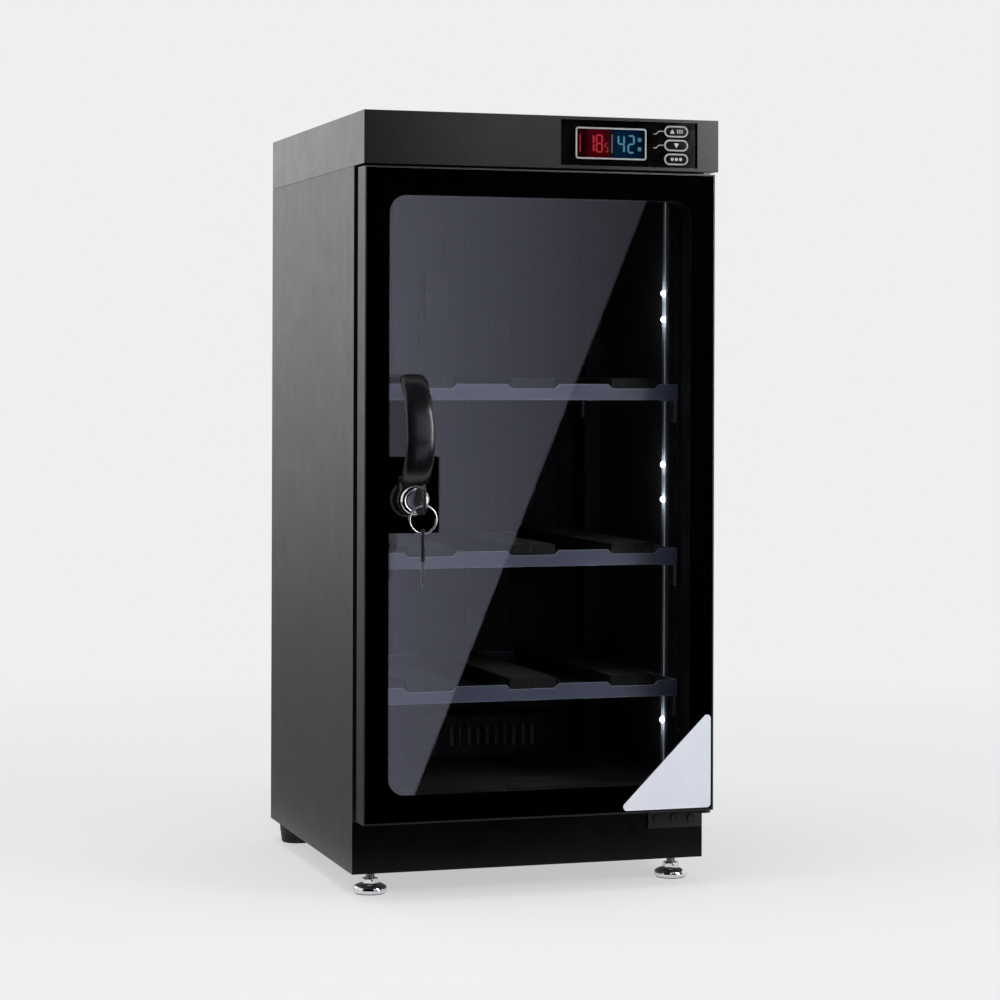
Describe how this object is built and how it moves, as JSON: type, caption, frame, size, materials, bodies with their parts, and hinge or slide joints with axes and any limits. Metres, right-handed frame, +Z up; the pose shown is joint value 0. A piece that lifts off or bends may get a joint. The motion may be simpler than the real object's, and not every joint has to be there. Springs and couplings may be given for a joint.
{
  "type": "camera dry cabinet",
  "caption": "Upright dry cabinet for cameras and lenses: steel box, hinged glass door with turning key-lock handle, matted shelves, display panel with push buttons, dryer and levelling feet.",
  "frame": {"origin": "centre of the outline's footprint, on the floor under the feet", "axes": "+Z up, front of the door faces -Y, +X to the right seen from the front"},
  "size_m": [0.32, 0.4136, 0.67],
  "materials": {
    "side_panel_left": "black fine-textured powder coat",
    "side_panel_right": "black fine-textured powder coat",
    "back_panel": "black fine-textured powder coat",
    "back_lining": "slate-grey coated sheet",
    "base_pan": "black powder coat",
    "plinth": "black powder coat",
    "floor_panel": "dark grey coated sheet",
    "header_floor": "dark grey coated sheet",
    "top_cover": "black fine-textured powder coat",
    "front_frame": "black powder coat",
    "lock_strike": "zinc-plated steel",
    "shelf_posts": "dark coated steel",
    "shelf_clips": "zinc-plated steel",
    "shelf_top": "blue-grey satin paint",
    "shelf_middle": "blue-grey satin paint",
    "shelf_lower": "blue-grey satin paint",
    "shelf_mat_top": "soft black foam rubber",
    "shelf_mat_middle": "soft black foam rubber",
    "shelf_mat_lower": "soft black foam rubber",
    "floor_mat": "ribbed black rubber",
    "light_channel": "white plastic channel",
    "light_lamps": "clear white lamp domes",
    "humidity_sensor": "white moulded plastic",
    "dryer_case": "black moulded plastic",
    "dryer_grille": "dark grey moulded plastic",
    "dryer_shutter": "bare aluminium",
    "dryer_desiccant": "white granule block",
    "panel_face": "glossy black plastic",
    "panel_lines": "light grey print",
    "display_pane": "dark tinted clear plastic",
    "display_module": "black display body",
    "display_digits": "lit display bars",
    "circuit_board": "green circuit board",
    "button_up": "glossy black plastic",
    "button_down": "glossy black plastic",
    "button_set": "glossy black plastic",
    "hinge_bracket": "black powder coat",
    "hinge_pin_upper": "bright steel pin",
    "hinge_screws": "black steel screws",
    "rear_screws": "zinc-plated steel",
    "power_inlet": "black moulded plastic",
    "foot_nuts": "zinc-plated steel",
    "feet_rear": "black rubber",
    "foot_left": "polished chrome",
    "foot_right": "polished chrome",
    "door_frame": "black satin paint",
    "door_glass": "clear tempered glass",
    "glass_coat": "black screen print behind the glass",
    "door_seal": "black magnetic seal",
    "hinge_bushes": "white nylon",
    "corner_label": "pale satin film",
    "lock_body": "black satin coat",
    "lock_nut": "zinc-plated steel",
    "handle_lever": "black satin coat on cast zinc",
    "handle_catch": "zinc-plated steel",
    "lock_collar": "polished chrome",
    "lock_plug": "satin chrome",
    "front_key": "black plastic grip on a steel blade",
    "key_ring": "polished steel wire",
    "spare_key": "black plastic grip on a steel blade"
  },
  "bodies": {
    "cabinet": {"side_panel_left": "side_panel_left", "side_panel_right": "side_panel_right", "back_panel": "back_panel", "back_lining": "back_lining", "base_pan": "base_pan", "plinth": "plinth", "floor_panel": "floor_panel", "header_floor": "header_floor", "top_cover": "top_cover", "front_frame": "front_frame", "lock_strike": "lock_strike", "shelf_posts": "shelf_posts", "shelf_clips": "shelf_clips", "shelf_top": "shelf_top", "shelf_middle": "shelf_middle", "shelf_lower": "shelf_lower", "shelf_mat_top": "shelf_mat_top", "shelf_mat_middle": "shelf_mat_middle", "shelf_mat_lower": "shelf_mat_lower", "floor_mat": "floor_mat", "light_channel": "light_channel", "light_lamps": "light_lamps", "humidity_sensor": "humidity_sensor", "dryer_case": "dryer_case", "dryer_grille": "dryer_grille", "dryer_desiccant": "dryer_desiccant", "panel_face": "panel_face", "panel_lines": "panel_lines", "display_pane": "display_pane", "display_module": "display_module", "display_digits": "display_digits", "circuit_board": "circuit_board", "hinge_bracket": "hinge_bracket", "hinge_pin_upper": "hinge_pin_upper", "hinge_screws": "hinge_screws", "rear_screws": "rear_screws", "power_inlet": "power_inlet", "foot_nuts": "foot_nuts", "feet_rear": "feet_rear"},
    "door": {"door_frame": "door_frame", "door_glass": "door_glass", "glass_coat": "glass_coat", "door_seal": "door_seal", "hinge_bushes": "hinge_bushes", "corner_label": "corner_label", "lock_body": "lock_body", "lock_nut": "lock_nut"},
    "handle": {"handle_lever": "handle_lever", "handle_catch": "handle_catch", "lock_collar": "lock_collar"},
    "lock": {"lock_plug": "lock_plug", "front_key": "front_key"},
    "key_ring": {"key_ring": "key_ring"},
    "spare_key": {"spare_key": "spare_key"},
    "button_up": {"button_up": "button_up"},
    "button_down": {"button_down": "button_down"},
    "button_set": {"button_set": "button_set"},
    "dryer_shutter": {"dryer_shutter": "dryer_shutter"},
    "foot_left": {"foot_left": "foot_left"},
    "foot_right": {"foot_right": "foot_right"}
  },
  "joints": [
    {"name": "door_swing", "type": "hinge", "parent": "cabinet", "child": "door", "pos_m": [0.151, -0.13303, 0.345], "axis": [0, 0, 1], "range_deg": [0, 110]},
    {"name": "handle_turn", "type": "hinge", "parent": "door", "child": "handle", "pos_m": [-0.122, -0.14503, 0.3415], "axis": [0, 1, 0], "range_deg": [0, 90]},
    {"name": "key_turn", "type": "hinge", "parent": "handle", "child": "lock", "pos_m": [-0.122, -0.14503, 0.3415], "axis": [0, 1, 0], "range_deg": [0, 90]},
    {"name": "ring_swing", "type": "hinge", "parent": "lock", "child": "key_ring", "pos_m": [-0.122, -0.19573, 0.3415], "axis": [1, 0, 0], "range_deg": [-85, 10]},
    {"name": "spare_key_swing", "type": "hinge", "parent": "key_ring", "child": "spare_key", "pos_m": [-0.122, -0.19573, 0.3121], "axis": [0.9659, -0.2588, 0], "range_deg": [-60, 45]},
    {"name": "button_up_press", "type": "slide", "parent": "cabinet", "child": "button_up", "axis": [0, 1, 0], "range_m": [0, 0.001], "stiffness_N_per_m": 600},
    {"name": "button_down_press", "type": "slide", "parent": "cabinet", "child": "button_down", "axis": [0, 1, 0], "range_m": [0, 0.001], "stiffness_N_per_m": 600},
    {"name": "button_set_press", "type": "slide", "parent": "cabinet", "child": "button_set", "axis": [0, 1, 0], "range_m": [0, 0.001], "stiffness_N_per_m": 600},
    {"name": "shutter_slide", "type": "slide", "parent": "cabinet", "child": "dryer_shutter", "axis": [1, 0, 0], "range_m": [0, 0.0045]},
    {"name": "foot_left_level", "type": "slide", "parent": "cabinet", "child": "foot_left", "axis": [0, 0, 1], "range_m": [-0.01, 0.005]},
    {"name": "foot_right_level", "type": "slide", "parent": "cabinet", "child": "foot_right", "axis": [0, 0, 1], "range_m": [-0.01, 0.005]}
  ]
}
